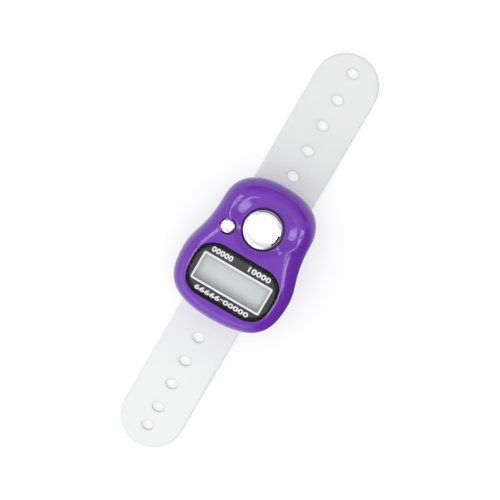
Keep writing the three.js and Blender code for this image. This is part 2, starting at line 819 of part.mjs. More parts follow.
place(caseGroup, 'top_shell', topShell(), purple);
place(caseGroup, 'bottom_case', bottomCase(), purple);
place(caseGroup, 'display_lens', displayLens(), clear);
place(caseGroup, 'lens_tape', lensTape(), tapeFinish);
place(caseGroup, 'front_polariser', frontPolariser(), foil);
place(caseGroup, 'front_glass', lcdPlate(lcdWidth, lcdLow, lcdHigh, frontGlassZ, glassThickness), glass);
place(caseGroup, 'rear_glass', lcdPlate(lcdWidth, rearLow, lcdHigh, rearGlassZ, glassThickness), glass);
place(caseGroup, 'reflector', reflector(), foil);
place(caseGroup, 'zebra_strip', zebraStrip(), rubber);
place(caseGroup, 'circuit_board', circuitBoard(), laminate);
place(caseGroup, 'chip_resin', chipResin(), resin);
place(caseGroup, 'capacitor', smallChip(-besideChip, ...capacitorSize), tapeFinish);
place(caseGroup, 'resistor', smallChip(besideChip, ...resistorSize), resin);
const countCap = buttonCap(0, countLine, countRadius, countTop, countFlange, crownZ + countProud, roundSteps);
const resetCap = buttonCap(
  resetX, resetLine, resetRadius, resetTop, resetFlange, crownZ + resetProud, roundSteps * 2 / 3,
);
place(caseGroup, 'count_button', countCap, chrome);
place(caseGroup, 'reset_button', resetCap, chrome);
place(caseGroup, 'count_dome', rubberDome(0, countLine, countFlange * 0.75), rubber);
place(caseGroup, 'reset_dome', rubberDome(resetX, resetLine, resetFlange * 0.9), rubber);
place(caseGroup, 'count_pill', rod(countPill, pillZ, pillZ + pillThickness, 0, countLine), carbon);
place(caseGroup, 'reset_pill', rod(resetPill, pillZ, pillZ + pillThickness, resetX, resetLine), carbon);
place(caseGroup, 'cell_can', cellCan(), steel);
place(caseGroup, 'cell_seal', cellSeal(), nylon);
place(caseGroup, 'cell_cap', cellCap(), steel);
place(caseGroup, 'negative_contact', negativeContact(), steel);
place(caseGroup, 'positive_contact', positiveContact(), steel);
caseScrewPlaces.forEach(([x, y], i) => {
  const body = screw(x, y, screwSeatZ, caseScrewRadius, caseScrewLength, caseHeadRadius, caseHeadHeight);
  place(caseGroup, `case_screw_${i + 1}`, body, steel);
});
boardScrewPlaces.forEach(([x, y], i) => {
  const body = screw(x, y, boardZ, boardScrewRadius, boardScrewLength, boardHeadRadius, boardHeadHeight);
  place(caseGroup, `board_screw_${i + 1}`, body, steel);
});
for (const [name, body] of strapPieces()) {
  place(counter, name, body, milky);
}

export default counter;
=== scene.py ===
# Finger tally counter: a purple case with a chrome count button and a small display, on a
# milky perforated strap. Metres. The strap lies along Y and the display end points to +Y.
from math import cos, pi, radians, sin, tan

import bmesh
import bpy
import numpy as np
from mathutils import Matrix, Vector
from mathutils.geometry import delaunay_2d_cdt


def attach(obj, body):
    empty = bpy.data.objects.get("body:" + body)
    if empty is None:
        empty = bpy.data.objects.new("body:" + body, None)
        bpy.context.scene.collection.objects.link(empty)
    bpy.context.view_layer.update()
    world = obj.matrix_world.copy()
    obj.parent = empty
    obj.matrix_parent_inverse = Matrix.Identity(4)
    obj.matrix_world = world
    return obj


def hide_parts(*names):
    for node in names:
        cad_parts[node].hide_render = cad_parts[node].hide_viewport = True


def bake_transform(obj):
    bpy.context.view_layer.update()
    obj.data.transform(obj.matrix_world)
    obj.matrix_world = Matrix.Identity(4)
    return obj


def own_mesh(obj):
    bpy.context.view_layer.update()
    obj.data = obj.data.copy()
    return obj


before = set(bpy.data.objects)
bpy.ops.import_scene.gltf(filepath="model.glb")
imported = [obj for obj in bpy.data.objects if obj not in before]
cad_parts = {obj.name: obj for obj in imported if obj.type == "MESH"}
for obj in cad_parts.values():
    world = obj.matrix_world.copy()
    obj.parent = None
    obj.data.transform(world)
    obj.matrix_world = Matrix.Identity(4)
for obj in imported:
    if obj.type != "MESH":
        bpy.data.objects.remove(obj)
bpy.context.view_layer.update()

# The counter lies on a white table under a wide white tent. The camera stands right over it,
# leaning a little to the near end of the strap, and is turned so that the strap runs from the
# lower left to the upper right. The frame is 500 pixels square and 36 mm of sensor wide.
frame_pixels = 500
sensor = 36.0
focal_pixels = 1430
eye_distance = 0.350
eye_side = tan(radians(1.2))
eye_near = -tan(radians(7.0))
camera_turn = radians(210.2)
middle_pixel = (247.7, 253.5)

eye_back = Vector((eye_side, eye_near, 1.0)).normalized()
level_right = (Vector((1, 0, 0)) - eye_back.x * eye_back).normalized()
level_up = eye_back.cross(level_right)
eye_right = cos(camera_turn) * level_right + sin(camera_turn) * level_up
eye_up = eye_back.cross(eye_right)
camera = bpy.data.objects.new("camera", bpy.data.cameras.new("camera"))
camera.data.sensor_width = sensor
camera.data.lens = sensor * focal_pixels / frame_pixels
camera.data.shift_x = (frame_pixels / 2 - middle_pixel[0]) / frame_pixels
camera.data.shift_y = (middle_pixel[1] - frame_pixels / 2) / frame_pixels
camera.data.clip_start = 0.01
camera.matrix_world = Matrix((
    (eye_right.x, eye_up.x, eye_back.x, eye_back.x * eye_distance),
    (eye_right.y, eye_up.y, eye_back.y, eye_back.y * eye_distance),
    (eye_right.z, eye_up.z, eye_back.z, eye_back.z * eye_distance),
    (0, 0, 0, 1),
))
bpy.context.scene.collection.objects.link(camera)
bpy.context.scene.camera = camera
bpy.context.scene.view_settings.view_transform = "Standard"

# White floor: a pale matt table that shows the counter's faint shadow. To glossy things it glows instead
# with painted light, a room low down that is pale all round but for a painted dark side, which is where
# the display end's far corner points.
dark_side = radians(165)
dark_fade = (0.5, 0.92)
room_light = (0.9, 0.08)
floor_half = 2.0
table_colour = (0.46, 0.46, 0.46, 1)
table_lift = 0.56
plain_white = (1, 1, 1, 1)


class Nodes:
    """Short calls for building a node tree. Each returns an output of its new node."""

    def __init__(self, owner):
        owner.use_nodes = True
        self.tree = owner.node_tree
        self.tree.nodes.clear()

    def add(self, kind, out=0, inputs=(), **settings):
        node = self.tree.nodes.new(kind)
        for name, value in settings.items():
            setattr(node, name, value)
        for key, value in dict(inputs).items():
            if isinstance(value, bpy.types.NodeSocket):
                self.tree.links.new(value, node.inputs[key])
            else:
                node.inputs[key].default_value = value
        return node.outputs[out] if node.outputs else node

    def math(self, operation, *values):
        return self.add("ShaderNodeMath", inputs=enumerate(values), operation=operation)

    def times(self, first, second):
        return self.math("MULTIPLY", first, second)

    def plus(self, first, second):
        return self.math("ADD", first, second)

    def ramp(self, value, low, high, to_low=0.0, to_high=1.0):
        """A value taken smoothly from the range low to high into the range to_low to to_high."""
        keys = {0: value, 1: low, 2: high, 3: to_low, 4: to_high}
        return self.add("ShaderNodeMapRange", inputs=keys, interpolation_type="SMOOTHSTEP")

    def band(self, value, low, high, soft):
        """1 while a value lies between low and high, fading to 0 over a soft width beyond each."""
        return self.times(self.ramp(value, low - soft, low), self.ramp(value, high, high + soft, 1, 0))

    def mix(self, share, first, second):
        return self.add("ShaderNodeMix", inputs={0: share, 2: first, 3: second}, data_type="FLOAT")

    def tint(self, share, dark, light):
        """A colour between two, each of them three numbers or a colour that a node gives."""
        dark, light = ((*c, 1) if isinstance(c, tuple) else c for c in (dark, light))
        return self.add("ShaderNodeMix", out=2, data_type="RGBA", inputs={0: share, 6: dark, 7: light})

    def scaled(self, colour, share):
        return self.add("ShaderNodeVectorMath", operation="SCALE", inputs={0: colour, 3: share})

    def place(self):
        """The place of a point in metres, which stays on its piece when the piece moves."""
        return self.add("ShaderNodeTexCoord", out=3)

    def split(self, vector):
        """The x, y and z of a vector and its length in plan."""
        parts = self.tree.nodes.new("ShaderNodeSeparateXYZ")
        self.tree.links.new(vector, parts.inputs[0])
        x, y, z = parts.outputs
        return x, y, z, self.math("SQRT", self.plus(self.times(x, x), self.times(y, y)))

    def noise(self, place, scale, detail=2.0):
        return self.add("ShaderNodeTexNoise", inputs={"Vector": place, "Scale": scale, "Detail": detail})

    def waves(self, place, scale, distortion=0.0, **settings):
        keys = {"Vector": place, "Scale": scale, "Distortion": distortion}
        return self.add("ShaderNodeTexWave", out=1, inputs=keys, **settings)

    def bump(self, height, strength, distance):
        keys = {"Height": height, "Strength": strength, "Distance": distance}
        return self.add("ShaderNodeBump", inputs=keys)

    def blend(self, share, first, second):
        """A share of the way from one shader to another."""
        return self.add("ShaderNodeMixShader", inputs={0: share, 1: first, 2: second})

    def surface(self, shader):
        self.add("ShaderNodeOutputMaterial", inputs={"Surface": shader})

    def solid(self, colour, rough, **more):
        """Ends a material in an opaque surface. more gives other inputs of its shader, with _
        for each space in their names."""
        keys = {"Base Color": colour, "Roughness": rough}
        keys.update((name.replace("_", " "), value) for name, value in more.items())
        self.surface(self.add("ShaderNodeBsdfPrincipled", inputs=keys))

    def towards_dark(self, x, y, reach):
        """The cosine of the angle in plan between a direction and the middle of the dark side."""
        along = self.plus(self.times(x, cos(dark_side)), self.times(y, sin(dark_side)))
        return self.math("DIVIDE", along, reach)

    def surround(self, x, y, reach):
        """How bright the room is low down in a direction."""
        return self.ramp(self.towards_dark(x, y, reach), *dark_fade, *room_light)

    def front_gloss(self, ior):
        """How much the front of a clear plate mirrors. Its back faces mirror nothing, since light
        goes straight through the plate."""
        behind = self.add("ShaderNodeNewGeometry", out=6)
        mirror = self.add("ShaderNodeFresnel", inputs={"IOR": ior})
        return self.times(mirror, self.math("SUBTRACT", 1.0, behind))


def new_material(name):
    """A new material and the calls that build it."""
    made = bpy.data.materials.new(name)
    return made, Nodes(made)


floor_mesh = bpy.data.meshes.new("floor")
corners = [(x * floor_half, y * floor_half, 0) for x, y in ((-1, -1), (1, -1), (1, 1), (-1, 1))]
floor_mesh.from_pydata(corners, [], [(0, 1, 2, 3)])
floor = bpy.data.objects.new("floor", floor_mesh)
bpy.context.scene.collection.objects.link(floor)
white_table, n = new_material("white_table")
path = n.tree.nodes.new("ShaderNodeLightPath").outputs
looked_at = n.math("MAXIMUM", path["Is Camera Ray"], path["Is Transmission Ray"])
table = n.add("ShaderNodeBsdfDiffuse", inputs={"Color": table_colour})
lift = {"Color": plain_white, "Strength": n.times(looked_at, table_lift)}
table = n.add("ShaderNodeAddShader", inputs={0: table, 1: n.add("ShaderNodeEmission", inputs=lift)})
x, y, z, reach = n.split(n.place())
# Painted light: for glossy rays the floor glows with the room's brightness, with a painted dark side
room = {"Color": plain_white, "Strength": n.surround(x, y, reach)}
n.surface(n.blend(path["Is Glossy Ray"], table, n.add("ShaderNodeEmission", inputs=room)))
floor_mesh.materials.append(white_table)

# White tent: it lights matt things evenly, a little more from the reset button's side and the
# display end. Glossy things see two pairs of soft windows in its roof, a glow overhead and one
# past the display end, a dim end past the count button, and a dark card on the dark side.
window_light = 4.9
near_slant = (-0.34, -0.05)
near_height = (0.66, 0.962)
far_side = (0.22, 0.52)
far_along = (0.04, 0.31)
far_slant = (0.0, 0.82)
roof_light = 0.8
overhead_glow = 0.35
display_glow = 1.1
dim_share = 0.12
card_height = (0.52, 0.84)
card_share = 0.04
matt_light = (0.85, 1.3)
world = bpy.data.worlds.new("tent")
bpy.context.scene.world = world
n = Nodes(world)
path = n.tree.nodes.new("ShaderNodeLightPath").outputs
x, y, z, reach = n.split(n.add("ShaderNodeTexCoord", out=0))
# u and v are the places on a flat roof one unit up, with u counted the same way to both sides
up = n.math("MAXIMUM", z, 0.05)
u = n.math("DIVIDE", n.math("ABSOLUTE", x), up)
v = n.math("DIVIDE", y, up)
slant = n.math("DIVIDE", v, u)
near_window = n.times(n.band(slant, *near_slant, soft=0.04), n.band(z, *near_height, soft=0.008))
far_window = n.times(n.band(u, *far_side, soft=0.03), n.band(v, *far_along, soft=0.03))
far_window = n.times(far_window, n.band(slant, *far_slant, soft=0.06))
windows = n.times(n.math("MAXIMUM", near_window, far_window), window_light)
dim_end = n.times(n.ramp(v, -1.6, -0.8, 1, 0), n.ramp(slant, -1.3, -0.6, 1, 0))
roof = n.mix(n.ramp(z, 0.1, 0.9), n.surround(x, y, reach), roof_light)
roof = n.plus(roof, n.ramp(z, 0.90, 0.96, 0.0, overhead_glow))
display_end = n.plus(n.times(x, 0.4), n.times(y, 0.9))
roof = n.plus(roof, n.ramp(display_end, 0.35, 0.85, 0.0, display_glow))
roof = n.times(roof, n.mix(dim_end, 1.0, dim_share))
card = n.times(n.ramp(n.towards_dark(x, y, reach), 0.90, 0.95), n.band(z, *card_height, soft=0.04))
roof = n.times(roof, n.mix(card, 1.0, card_share))
lean = n.plus(n.times(x, 0.75), n.times(y, 0.66))
level = n.ramp(lean, -1.0, 1.0, *matt_light)
glossy = n.math("MAXIMUM", path["Is Glossy Ray"], path["Is Transmission Ray"])
brightness = n.mix(path["Is Camera Ray"], n.mix(glossy, level, n.plus(roof, windows)), 1.0)
sky = n.add("ShaderNodeBackground", inputs={"Color": plain_white, "Strength": brightness})
n.add("ShaderNodeOutputWorld", inputs={"Surface": sky})

# Top shell: the crowned purple cover. It is one moulding with a round shoulder, a soft dish
# round the count button, a recess that the lens is let into, and bosses for the screws. Sizes
# from here on are in millimetres from the middle of the case, and materials use metres.
mm = 0.001
case_y = -0.9
case_length = 36.6
head_width = 29.1
tail_width = 24.0
head_line = 6.2
tail_line = -9.0
outline_steps = 480
corner_steps = 23
side_steps = 16
sharp = radians(35)
seam_z = 6.4
crown_z = 13.4
side_drop = 0.25
end_drop = 0.5
head_shoulder = 3.4
tail_shoulder = 4.8
shoulder_run = (2.0, -7.0)
ceiling_z = 11.8
wall = 1.4
cavity_round = 0.8
edge_round = 0.12
count_y = -7.25
count_hole = 10.2
reset_place = (7.6, -3.95)
reset_hole = 4.0
hole_round = 0.25
dish_inner = 5.2
dish_head = (7.2, 0.7)
dish_tail = (11.5, 1.1)
lens_width = 22.8
lens_height = 13.2
lens_corner = 5.7
lens_y = 7.1
lens_gap = 0.15
recess_round = 0.12
seat_z = 11.95
ledge_z = 11.25
window_width = 18.7
window_height = 7.9
window_corner = 1.0
window_y = 7.4
count_steps = 120
reset_steps = 64
crown_grid = 0.3
purple_dark = (0.138, 0.020, 0.385)
purple_light = (0.160, 0.024, 0.435)

# The plastic is glossy, with the faint unevenness of its mould
purple, n = new_material("purple_plastic")
place = n.place()
flow = n.noise(place, scale=90.0, detail=3.0)
grain = n.noise(place, scale=2600.0)
n.solid(n.tint(flow, purple_dark, purple_light), n.ramp(grain, 0.3, 0.7, 0.07, 0.11),
        Normal=n.bump(grain, strength=0.03, distance=0.00005), IOR=1.5)


def curve(a, b, c, d, steps=200):
    """Points on a cubic curve from a to d whose handles are b and c."""
    t = np.linspace(0, 1, steps)[:, None]
    a, b, c, d = np.array([a, b, c, d], float)
    return (1 - t) ** 3 * a + 3 * (1 - t) ** 2 * t * b + 3 * (1 - t) * t ** 2 * c + t ** 3 * d


def evenly(path, steps):
    """A closed path walked in equal steps, counter-clockwise from its first point."""
    path = np.vstack([path, path[:1]])
    along = np.r_[0, np.cumsum(np.hypot(*np.diff(path, axis=0).T))]
    places = np.linspace(0, along[-1], steps, endpoint=False)
    return np.column_stack([np.interp(places, along, path[:, i]) for i in (0, 1)])


def case_side():
    """The right side of the case, narrow at the tail, round the count button, and wide at the
    head, round the display: three curves whose handles are shares of the lengths they span."""
    end, head, tail = case_length / 2, head_width / 2, tail_width / 2
    waist = head_line - tail_line
    stops = [(0, -end), (tail, tail_line), (head, head_line), (0, end)]
    handles = [
        ((0.65 * tail, -end), (tail, tail_line - 0.65 * (end + tail_line))),
        ((tail, tail_line + 0.57 * waist), (head, head_line - 0.335 * waist)),
        ((head, head_line + 0.6 * (end - head_line)), (0.85 * head, end)),
    ]
    curves = [curve(stops[k], *handles[k], stops[k + 1]) for k in range(3)]
    return np.vstack([curves[0], curves[1][1:], curves[2][1:]])


side = case_side()
outline = evenly(np.vstack([side, side[-2:0:-1] * [-1, 1]]), outline_steps)
outline_run = np.roll(outline, -1, 0) - np.roll(outline, 1, 0)
outline_run /= np.hypot(*outline_run.T)[:, None]
outline_in = np.column_stack([-outline_run[:, 1], outline_run[:, 0]])


def inset(distance):
    """The outline drawn in by a distance, one for all or one each, along its inward normals."""
    return outline + np.broadcast_to(distance, len(outline))[:, None] * outline_in


def heights(loop, z):
    """z at the points of a plan loop: one for all, one each, or a function of x and y."""
    return z(*loop.T) if callable(z) else np.broadcast_to(z, len(loop))


def at(loop, z):
    """A plan loop as a ring of points at those heights."""
    return np.column_stack([loop, heights(loop, z)])


def inside(points, loop):
    """Whether each point lies inside a closed loop: a ray to its right crosses the loop an odd
    number of times."""
    x, y = points[:, :1], points[:, 1:2]
    x0, y0 = loop.T
    x1, y1 = np.roll(loop, -1, 0).T
    rise = np.where(y1 == y0, 1, y1 - y0)
    return (((y0 > y) != (y1 > y)) & (x < x0 + (y - y0) * (x1 - x0) / rise)).sum(1) % 2 == 1


def distance_to(points, loop):
    """How far each point is from the nearest point of a loop."""
    return np.hypot(points[:, :1] - loop[:, 0], points[:, 1:2] - loop[:, 1]).min(1)


class Skin:
    """The skin of one piece, gathered strip by strip, in millimetres."""

    def __init__(self):
        self.points, self.faces, self.count = [], [], 0

    def add(self, points, faces):
        self.points.append(np.asarray(points, float))
        self.faces += (np.asarray(faces) + self.count).tolist()
        self.count += len(points)

    def strips(self, rings, closed=False):
        """Quads from each ring of points to the next. The rings run counter-clockwise seen from
        above, and the skin faces away from their middle where it climbs."""
        rings = np.asarray(rings, float)
        rows, steps = rings.shape[:2]
        row = np.arange(rows if closed else rows - 1)[:, None] * steps
        i = np.arange(steps)
        a, b = row + i, row + (i + 1) % steps
        c, d = (b + steps) % (rows * steps), (a + steps) % (rows * steps)
        self.add(rings.reshape(-1, 3), np.stack([a, b, c, d], -1).reshape(-1, 4))

    def cap(self, loops, z, up=True, grid=None):
        """Triangles between an outer loop and the loops of its holes at a height, one for all
        or a function of x and y. Where grid is a spacing, there are even points in between."""
        edges, start = [], 0
        for loop in loops:
            i = np.arange(len(loop))
            edges += np.column_stack([start + i, start + (i + 1) % len(loop)]).tolist()
            start += len(loop)
        points = np.vstack(loops)
        if grid:
            low, high = loops[0].min(0), loops[0].max(0)
            row_step = grid * 0.866
            x, y = np.meshgrid(np.arange(low[0], high[0], grid), np.arange(low[1], high[1], row_step))
            x[1::2] += grid / 2
            between = np.column_stack([x.ravel(), y.ravel()])
            for k, loop in enumerate(loops):
                between = between[inside(between, loop) == (k == 0)]
                between = between[distance_to(between, loop) > grid * 0.6]
            points = np.vstack([points, between])
        made = delaunay_2d_cdt(points.tolist(), edges, [], 0, 1e-6)
        points = np.array([tuple(v) for v in made[0]])
        faces = np.array(made[2])
        middles = points[faces].mean(1)
        for k, loop in enumerate(loops):
            keep = inside(middles, loop) == (k == 0)
            faces, middles = faces[keep], middles[keep]
        (ax, ay), (bx, by), (cx, cy) = (points[faces[:, k]].T for k in range(3))
        turn = (bx - ax) * (cy - ay) - (by - ay) * (cx - ax)
        wrong = (turn > 0) != up
        faces[wrong] = faces[wrong][:, ::-1]
        self.add(at(points, z), faces)

    def put(self, name, material, y=case_y, values=None):
        """The skin as one closed mesh object in metres, smooth but for its sharp edges. values
        gives an attribute for the material: its name and a function of x, y and z."""
        points = np.vstack(self.points)
        mesh = bpy.data.meshes.new(name)
        mesh.from_pydata(((points + [0, y, 0]) * mm).tolist(), [], self.faces)
        if values:
            layer = mesh.attributes.new(values[0], "FLOAT", "POINT")
            layer.data.foreach_set("value", np.asarray(values[1](*points.T), np.float32))
        shape = bmesh.new()
        shape.from_mesh(mesh)
        bmesh.ops.remove_doubles(shape, verts=shape.verts, dist=1e-6)
        shape.to_mesh(mesh)
        shape.free()
        mesh.materials.append(material)
        mesh.shade_smooth()
        mesh.set_sharp_from_angle(angle=sharp)
        piece = bpy.data.objects.new(name, mesh)
        bpy.context.scene.collection.objects.link(piece)
        return piece


def arc(first, last, steps):
    """Angles from first to last in degrees, in equal turns, as radians."""
    return np.radians(np.linspace(first, last, steps + 1))


def circle(x, y, radius, steps):
    """A loop in equal steps, counter-clockwise from its +X side."""
    turn = np.linspace(0, 2 * pi, steps, endpoint=False)
    return np.column_stack([x + radius * np.cos(turn), y + radius * np.sin(turn)])


def rounded(width, height, corner, y, out=0.0):
    """A rectangle with round corners about x = 0 and y, drawn out by a distance, always with
    the same number of points, so that two of them can be joined point by point."""
    w, h, c = width / 2 - corner, height / 2 - corner, corner + out
    turn = arc(0, 90, corner_steps)
    corners = []
    for k, (sx, sy) in enumerate([(1, 1), (-1, 1), (-1, -1), (1, -1)]):
        here = turn + k * pi / 2
        corners.append(np.column_stack([sx * w + c * np.cos(here), y + sy * h + c * np.sin(here)]))
    share = np.linspace(0, 1, side_steps + 1)[1:-1, None]
    loop = []
    for k in range(4):
        a, b = corners[k][-1], corners[(k + 1) % 4][0]
        loop += [corners[k], a + share * (b - a)]
    return np.vstack(loop)


def smooth_step(value, low, high):
    share = np.clip((value - low) / (high - low), 0, 1)
    return share * share * (3 - 2 * share)


shoulder = head_shoulder + (tail_shoulder - head_shoulder) * smooth_step(outline[:, 1], *shoulder_run)


def crown(x, y):
    """Height of the top: a crown that drops with the square of x and of y, less the dish,
    which falls on a half cosine wave from its outer to its inner radius. The dish is small
    and shallow towards the head and wide and deeper towards the tail, by a smooth step in
    the sine of the direction from the button."""
    r = np.maximum(np.hypot(x, y - count_y), 0.001)
    turn = smooth_step((count_y - y) / r, -0.35, 0.35)
    reach, depth = (head + (tail - head) * turn for head, tail in zip(dish_head, dish_tail))
    share = np.clip((r - dish_inner) / (reach - dish_inner), 0, 1)
    drop = side_drop * (x / (head_width / 2)) ** 2 + end_drop * (y / (case_length / 2)) ** 2
    return crown_z - drop - depth * (1 + np.cos(pi * share)) / 2


def ellipse_rings(lean, low_z, high, turns, start=0.0):
    """Rings along a quarter ellipse that leans in by a distance from one height to another."""
    rings = []
    for t in turns:
        loop = inset(start + lean * (1 - np.cos(t)))
        rings.append(at(loop, low_z + (heights(loop, high) - low_z) * np.sin(t)))
    return rings


def edge_rings(turns, side):
    """Rings round the small edge at the seam, above it where side is 1 and below where -1."""
    return [at(inset(edge_round * (1 - np.sin(t))), seam_z + side * edge_round * (1 - np.cos(t)))
            for t in turns]


def hole_rings(loop_at, radius, low_z):
    """Rings over a rounded edge into a hole in the top and down its wall. loop_at draws the
    hole's outline out by a distance, and the edge starts at the height of the top there."""
    outer = loop_at(radius)
    top = crown(*outer.T)
    rings = []
    for t in arc(0, 90, 6):
        rings.append(at(loop_at(radius * (1 - np.sin(t))), top - radius * (1 - np.cos(t))))
    rings.append(at(loop_at(0), low_z))
    return rings


def count_loop(out):
    return circle(0, count_y, count_hole / 2 + out, count_steps)


def reset_loop(out):
    return circle(*reset_place, reset_hole / 2 + out, reset_steps)


def lens_loop(out):
    return rounded(lens_width, lens_height, lens_corner, lens_y, out)


def recess_loop(out):
    return lens_loop(lens_gap + out)


top = Skin()
rings = ellipse_rings(cavity_round, seam_z, ceiling_z, arc(90, 0, 8), wall)
rings += edge_rings(arc(0, 90, 3), 1)
rings += ellipse_rings(shoulder, seam_z, crown, arc(3, 90, 30))
top.strips(rings)
top.strips(hole_rings(count_loop, hole_round, ceiling_z))
top.strips(hole_rings(reset_loop, hole_round, ceiling_z))
window_loop = rounded(window_width, window_height, window_corner, window_y)
rings = hole_rings(recess_loop, recess_round, seat_z)
rings += [at(window_loop, seat_z), at(window_loop, ledge_z)]
rings += [at(lens_loop(0), ledge_z), at(lens_loop(0), ceiling_z)]
top.strips(rings)
outer_loops = [inset(shoulder), count_loop(hole_round), reset_loop(hole_round), recess_loop(recess_round)]
inner_loops = [inset(wall + cavity_round), count_loop(0), reset_loop(0), lens_loop(0)]
top.cap(outer_loops, crown, grid=crown_grid)
top.cap(inner_loops, ceiling_z, up=False)

# Screw places: four for the case and four for the board, each pair set in from the outline
head_screws = (14.2, 4.5)
tail_screws = (-13.6, 3.65)
head_board = (0.2, 3.75)
tail_board = (-10.4, 3.75)
case_boss = 1.65
case_thread = 0.85
board_boss = 1.45
board_thread = 0.65
board_top_z = 9.1
boss_steps = 40
boss_root = 0.1


def screw_pair(y, from_edge):
    """A left and a right place on a line across the case, both set in from the outline."""
    right = outline[(outline[:, 0] > 0) & (np.abs(outline[:, 1]) < case_length / 2 - 1)]
    right = right[np.argsort(right[:, 1])]
    x = np.interp(y, right[:, 1], right[:, 0]) - from_edge
    return [(-x, y), (x, y)]


case_screws = screw_pair(*head_screws) + screw_pair(*tail_screws)
board_screws = screw_pair(*head_board) + screw_pair(*tail_board)


def tube(skin, x, y, outer, inner, low_z, high_z):
    """A closed upright tube: up its outside, in over its top and down its inside."""
    walls = [(outer, low_z), (outer, high_z), (inner, high_z), (inner, low_z)]
    skin.strips([at(circle(x, y, radius, boss_steps), z) for radius, z in walls], closed=True)


def boss_top(x, y):
    """The ceiling, or where the shoulder comes down lower, the middle of its wall."""
    gaps = np.hypot(x[:, None] - outline[:, 0], y[:, None] - outline[:, 1])
    reach = shoulder[gaps.argmin(1)]
    share = 1 - np.clip(gaps.min(1) / reach, 0, 1)
    skin_z = seam_z + (crown(x, y) - seam_z) * np.sqrt(1 - share ** 2)
    return np.minimum(ceiling_z + boss_root, skin_z - wall / 2)


for x, y in case_screws:
    tube(top, x, y, case_boss, case_thread, seam_z, boss_top)
for x, y in board_screws:
    tube(top, x, y, board_boss, board_thread, board_top_z, boss_top)
shell = top.put("shell_top", purple)
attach(shell, "case")
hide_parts("top_shell")

# Bottom case: the same purple plastic, a shallow tray with a rounded keel. A lip inside its rim
# finds the top shell, sleeves and counterbores take the screws, a ring holds the cell, and two
# loops under it hold the strap.
base_z = 2.9
floor_z = 4.1
keel = 3.0
lip = [(1.7, 6.1), (1.7, 7.4), (2.4, 7.4), (2.4, 5.4), (1.7, 5.4)]
root_z = 3.5
sleeve_z = 6.35
counterbore = 1.45
screw_seat_z = 4.3
cell_y = 6.6
well_radius = 6.1
well_wall = 0.8
well_z = 5.9
loop_y = 10.0
loop_half = 1.3
loop_inside = 8.35
loop_outside = 10.15
loop_bar = 1.2
loop_corner = 0.6
loop_edge = 0.2

tray = Skin()
rings = ellipse_rings(keel, seam_z, base_z, arc(90, 3, 26))
rings += edge_rings(arc(90, 0, 3), -1)
rings += [at(inset(wall), seam_z), at(inset(wall), lip[0][1])]
rings += [at(inset(distance), z) for distance, z in lip]
rings += ellipse_rings(keel, seam_z, floor_z, arc(27, 90, 8), wall)
tray.strips(rings)
tray.cap([inset(keel)], base_z, up=False)
tray.cap([inset(wall + keel)], floor_z)
tray = tray.put("shell_bottom", purple)


def turned(name, x, y, profile, steps, material):
    """A turned solid: rings up a profile of radius and height, closed by a point at each end."""
    skin = Skin()
    rings = [at(circle(x, y, radius, steps), z) for radius, z in profile[1:-1]]
    skin.strips(rings)
    i = np.arange(steps)
    for ring, (_, z), turn in ((rings[0], profile[0], -1), (rings[-1], profile[-1], 1)):
        fan = np.column_stack([i, np.roll(i, -1), i * 0 + steps])[:, ::turn]
        skin.add(np.vstack([ring, [x, y, z]]), fan)
    return skin.put(name, material)


def merge(base, solids, operation):
    """Joins closed solids to a closed piece, or cuts them from it, and keeps the result."""
    for solid in solids:
        tool = base.modifiers.new("tool", "BOOLEAN")
        tool.solver = "MANIFOLD"
        tool.operation = operation
        tool.object = solid
    made = bpy.data.meshes.new_from_object(base.evaluated_get(bpy.context.evaluated_depsgraph_get()))
    base.modifiers.clear()
    base.data = made
    for solid in solids:
        bpy.data.objects.remove(solid)


def loop_skin(y):
    """One strap loop: a U drawn in X and Z, with round corners, carried along Y. Its plan is
    laid out flat first and then turned up."""
    far, c, small = loop_outside - loop_corner, loop_corner, loop_corner / 2
    turn = arc(0, 90, 8)
    across, rise = np.sin(turn), 1 - np.cos(turn)
    low = np.vstack([
        [(-loop_outside, root_z)],
        np.column_stack([-far - c * np.cos(turn), c - c * across]),
        np.column_stack([far + c * across, c * rise]),
        [(loop_outside, root_z), (loop_inside, root_z)],
        np.column_stack([loop_inside - small * rise, loop_bar + small - small * across]),
        np.column_stack([-loop_inside + small - small * across, loop_bar + small * rise]),
        [(-loop_inside, root_z)],
    ])
    run = np.roll(low, -1, 0) - np.roll(low, 1, 0)
    run /= np.hypot(*run.T)[:, None]
    towards = np.column_stack([-run[:, 1], run[:, 0]])
    turns = arc(0, 90, 4)
    ends = [(loop_edge * (1 - np.sin(t)), -loop_half + loop_edge * (1 - np.cos(t))) for t in turns]
    ends += [(inset_by, -height) for inset_by, height in ends[::-1]]
    shape = Skin()
    shape.strips([at(low + distance * towards, height) for distance, height in ends])
    shape.cap([low + loop_edge * towards], loop_half)
    shape.cap([low + loop_edge * towards], -loop_half, up=False)
    shape.points = [np.column_stack([p[:, 0], y - p[:, 2], p[:, 1]]) for p in shape.points]
    return shape.put("loop", purple)


added = [loop_skin(-loop_y), loop_skin(loop_y)]
removed = []
sleeve = [(0, root_z), (case_boss, root_z), (case_boss, sleeve_z), (0, sleeve_z)]
bore = [(0, base_z - 1), (counterbore, base_z - 1), (counterbore, screw_seat_z),
        (case_thread, screw_seat_z), (case_thread, seam_z + 2), (0, seam_z + 2)]
for x, y in case_screws:
    added.append(turned("sleeve", x, y, sleeve, boss_steps, purple))
    removed.append(turned("bore", x, y, bore, boss_steps, purple))
well = Skin()
tube(well, 0, cell_y, well_radius + well_wall, well_radius, floor_z - 0.5, well_z)
added.append(well.put("well", purple))
merge(tray, added, "UNION")
merge(tray, removed, "DIFFERENCE")
tray.data.shade_smooth()
tray.data.set_sharp_from_angle(angle=sharp)
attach(tray, "case")
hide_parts("bottom_case")
